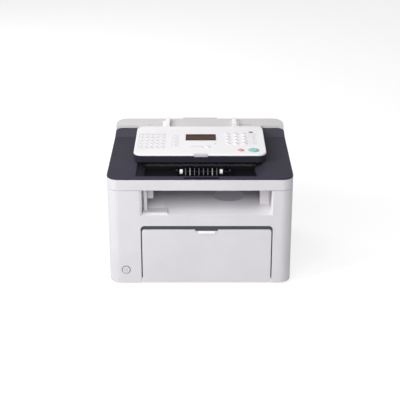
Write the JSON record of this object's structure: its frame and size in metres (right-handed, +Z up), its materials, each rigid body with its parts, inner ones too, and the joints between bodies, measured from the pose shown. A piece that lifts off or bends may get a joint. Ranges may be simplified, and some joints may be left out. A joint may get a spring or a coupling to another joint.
{
  "type": "laser fax machine",
  "caption": "Desktop laser fax machine with a tilting control panel, document tray and guides, output slot, and drop-down paper door.",
  "frame": {"origin": "centre of the footprint, on the surface that the machine stands on", "axes": "+X to the operator's right, +Y from the front to the back, +Z up"},
  "size_m": [0.372, 0.3258, 0.261],
  "materials": {
    "white_shell": "fine moulded grain, satin",
    "panel_white": "smooth satin",
    "dark_cover": "fine moulded grain, satin",
    "dark_inner": "moulded, satin",
    "tray_grey": "satin",
    "latch_grey": "satin",
    "key_white": "satin",
    "start_green": "satin",
    "stop_red": "satin",
    "display_brown": "glossy window",
    "film_white": "matt film",
    "steel": "ground",
    "frame_steel": "zinc plated sheet",
    "rubber_black": "matt",
    "roller_white": "smooth",
    "board_green": "coated board",
    "board_tan": "board",
    "fuser_brown": "smooth",
    "pressure_red": "matt"
  },
  "bodies": {
    "chassis": {"base_plate": "dark_inner", "housing": "white_shell", "rear_cover": "white_shell", "rubber_feet": "rubber_black", "side_frame_left": "frame_steel", "side_frame_right": "frame_steel", "output_tray": "white_shell", "ac_inlet": "rubber_black", "line_jacks": "dark_inner", "main_board": "board_green", "power_supply": "board_tan", "laser_unit": "dark_inner", "main_motor": "frame_steel", "toner_cartridge": "dark_inner", "paper_tray": "dark_inner", "hinge_pins": "steel", "case_screws": "steel"},
    "front_door": {"front_door": "white_shell"},
    "power_button": {"power_button": "white_shell"},
    "paper_guide_left": {"paper_guide_left": "latch_grey"},
    "paper_guide_right": {"paper_guide_right": "latch_grey"},
    "motor_pinion": {"motor_pinion": "roller_white"},
    "transfer_roller": {"transfer_roller": "rubber_black", "drive_gear": "roller_white"},
    "fuser_roller": {"fuser_roller": "fuser_brown"},
    "pressure_roller": {"pressure_roller": "pressure_red"},
    "output_roller": {"output_roller": "rubber_black"},
    "pickup_roller": {"pickup_roller": "rubber_black"},
    "top_unit": {"upper_frame": "white_shell", "top_cover": "dark_cover", "image_sensor": "dark_inner", "document_tray": "tray_grey", "panel_hinge_pins": "steel"},
    "document_guide_left": {"document_guide_left": "panel_white"},
    "document_guide_right": {"document_guide_right": "panel_white"},
    "tray_extension": {"tray_extension": "tray_grey"},
    "document_roller": {"document_roller": "rubber_black"},
    "exit_rollers": {"exit_rollers": "roller_white"},
    "panel": {"panel_base": "dark_cover", "control_panel": "panel_white", "display_window": "display_brown", "one_touch_film": "film_white", "function_film": "film_white"},
    "panel_latch": {"panel_latch": "latch_grey"},
    "arrow_key": {"arrow_key": "key_white"},
    "key_1": {"key_1": "key_white"},
    "key_2": {"key_2": "key_white"},
    "key_3": {"key_3": "key_white"},
    "key_4": {"key_4": "key_white"},
    "key_5": {"key_5": "key_white"},
    "key_6": {"key_6": "key_white"},
    "key_7": {"key_7": "key_white"},
    "key_8": {"key_8": "key_white"},
    "key_9": {"key_9": "key_white"},
    "key_star": {"key_star": "key_white"},
    "key_0": {"key_0": "key_white"},
    "key_hash": {"key_hash": "key_white"},
    "start_key": {"start_key": "start_green"},
    "stop_key": {"stop_key": "stop_red"},
    "ok_key": {"ok_key": "key_white"}
  },
  "joints": [
    {"name": "top_unit_hinge", "type": "hinge", "parent": "chassis", "child": "top_unit", "pos_m": [0, 0.155, 0.211], "axis": [-1, 0, 0], "range_deg": [0, 40]},
    {"name": "panel_hinge", "type": "hinge", "parent": "top_unit", "child": "panel", "pos_m": [0, 0.09694, 0.24], "axis": [-1, 0, 0], "range_deg": [0, 50]},
    {"name": "front_door_hinge", "type": "hinge", "parent": "chassis", "child": "front_door", "pos_m": [0.0135, -0.153, 0.01], "axis": [1, 0, 0], "range_deg": [0, 90]},
    {"name": "power_button_press", "type": "slide", "parent": "chassis", "child": "power_button", "axis": [0, 1, 0], "range_m": [0, 0.0015], "stiffness_N_per_m": 400},
    {"name": "paper_guide_left_slide", "type": "slide", "parent": "chassis", "child": "paper_guide_left", "axis": [1, 0, 0], "range_m": [0, 0.055]},
    {"name": "paper_guide_right_slide", "type": "slide", "parent": "chassis", "child": "paper_guide_right", "axis": [-1, 0, 0], "range_m": [0, 0.055]},
    {"name": "document_guide_left_slide", "type": "slide", "parent": "top_unit", "child": "document_guide_left", "axis": [-1, 0, 0], "range_m": [0, 0.038]},
    {"name": "document_guide_right_slide", "type": "slide", "parent": "top_unit", "child": "document_guide_right", "axis": [1, 0, 0], "range_m": [0, 0.038]},
    {"name": "tray_extension_slide", "type": "slide", "parent": "top_unit", "child": "tray_extension", "axis": [0, 0.9916, 0.1292], "range_m": [0, 0.022]},
    {"name": "transfer_roller_spin", "type": "hinge", "parent": "chassis", "child": "transfer_roller", "pos_m": [0, 0.0824, 0.1005], "axis": [1, 0, 0], "continuous": true},
    {"name": "motor_pinion_spin", "type": "hinge", "parent": "chassis", "child": "motor_pinion", "pos_m": [0, 0.0486, 0.1005], "axis": [1, 0, 0], "continuous": true},
    {"name": "fuser_roller_spin", "type": "hinge", "parent": "chassis", "child": "fuser_roller", "pos_m": [0, 0.076, 0.1505], "axis": [1, 0, 0], "continuous": true},
    {"name": "pressure_roller_spin", "type": "hinge", "parent": "chassis", "child": "pressure_roller", "pos_m": [0, 0.0984, 0.1505], "axis": [1, 0, 0], "continuous": true},
    {"name": "output_roller_spin", "type": "hinge", "parent": "chassis", "child": "output_roller", "pos_m": [0, 0.002, 0.188], "axis": [1, 0, 0], "continuous": true},
    {"name": "pickup_roller_spin", "type": "hinge", "parent": "chassis", "child": "pickup_roller", "pos_m": [0, 0.03, 0.0625], "axis": [1, 0, 0], "continuous": true},
    {"name": "document_roller_spin", "type": "hinge", "parent": "top_unit", "child": "document_roller", "pos_m": [0, 0.025, 0.22671], "axis": [1, 0, 0], "continuous": true},
    {"name": "exit_rollers_spin", "type": "hinge", "parent": "top_unit", "child": "exit_rollers", "pos_m": [0, -0.104, 0.225], "axis": [1, 0, 0], "continuous": true},
    {"name": "latch_press", "type": "slide", "parent": "panel", "child": "panel_latch", "axis": [0, 0.9996, 0.0265], "range_m": [0, 0.0015], "stiffness_N_per_m": 300},
    {"name": "key_1_press", "type": "slide", "parent": "panel", "child": "key_1", "axis": [0, 0.0265, -0.9996], "range_m": [0, 0.0012], "stiffness_N_per_m": 250},
    {"name": "key_2_press", "type": "slide", "parent": "panel", "child": "key_2", "axis": [0, 0.0265, -0.9996], "range_m": [0, 0.0012], "stiffness_N_per_m": 250},
    {"name": "key_3_press", "type": "slide", "parent": "panel", "child": "key_3", "axis": [0, 0.0265, -0.9996], "range_m": [0, 0.0012], "stiffness_N_per_m": 250},
    {"name": "key_4_press", "type": "slide", "parent": "panel", "child": "key_4", "axis": [0, 0.0265, -0.9996], "range_m": [0, 0.0012], "stiffness_N_per_m": 250},
    {"name": "key_5_press", "type": "slide", "parent": "panel", "child": "key_5", "axis": [0, 0.0265, -0.9996], "range_m": [0, 0.0012], "stiffness_N_per_m": 250},
    {"name": "key_6_press", "type": "slide", "parent": "panel", "child": "key_6", "axis": [0, 0.0265, -0.9996], "range_m": [0, 0.0012], "stiffness_N_per_m": 250},
    {"name": "key_7_press", "type": "slide", "parent": "panel", "child": "key_7", "axis": [0, 0.0265, -0.9996], "range_m": [0, 0.0012], "stiffness_N_per_m": 250},
    {"name": "key_8_press", "type": "slide", "parent": "panel", "child": "key_8", "axis": [0, 0.0265, -0.9996], "range_m": [0, 0.0012], "stiffness_N_per_m": 250},
    {"name": "key_9_press", "type": "slide", "parent": "panel", "child": "key_9", "axis": [0, 0.0265, -0.9996], "range_m": [0, 0.0012], "stiffness_N_per_m": 250},
    {"name": "key_star_press", "type": "slide", "parent": "panel", "child": "key_star", "axis": [0, 0.0265, -0.9996], "range_m": [0, 0.0012], "stiffness_N_per_m": 250},
    {"name": "key_0_press", "type": "slide", "parent": "panel", "child": "key_0", "axis": [0, 0.0265, -0.9996], "range_m": [0, 0.0012], "stiffness_N_per_m": 250},
    {"name": "key_hash_press", "type": "slide", "parent": "panel", "child": "key_hash", "axis": [0, 0.0265, -0.9996], "range_m": [0, 0.0012], "stiffness_N_per_m": 250},
    {"name": "start_key_press", "type": "slide", "parent": "panel", "child": "start_key", "axis": [0, 0.0265, -0.9996], "range_m": [0, 0.0012], "stiffness_N_per_m": 250},
    {"name": "stop_key_press", "type": "slide", "parent": "panel", "child": "stop_key", "axis": [0, 0.0265, -0.9996], "range_m": [0, 0.0012], "stiffness_N_per_m": 250},
    {"name": "ok_key_press", "type": "slide", "parent": "panel", "child": "ok_key", "axis": [0, 0.0265, -0.9996], "range_m": [0, 0.0012], "stiffness_N_per_m": 250},
    {"name": "arrow_key_rock", "type": "hinge", "parent": "panel", "child": "arrow_key", "pos_m": [-0.007, -0.03796, 0.25311], "axis": [0, 0.9996, 0.0265], "range_deg": [-3, 3], "stiffness_Nm_per_rad": 0.05}
  ],
  "couplings": [
    {"joint": "motor_pinion_spin", "follows": "transfer_roller_spin", "ratio": -3},
    {"joint": "pressure_roller_spin", "follows": "fuser_roller_spin", "ratio": -1.2},
    {"joint": "paper_guide_right_slide", "follows": "paper_guide_left_slide", "ratio": 1},
    {"joint": "document_guide_right_slide", "follows": "document_guide_left_slide", "ratio": 1}
  ]
}
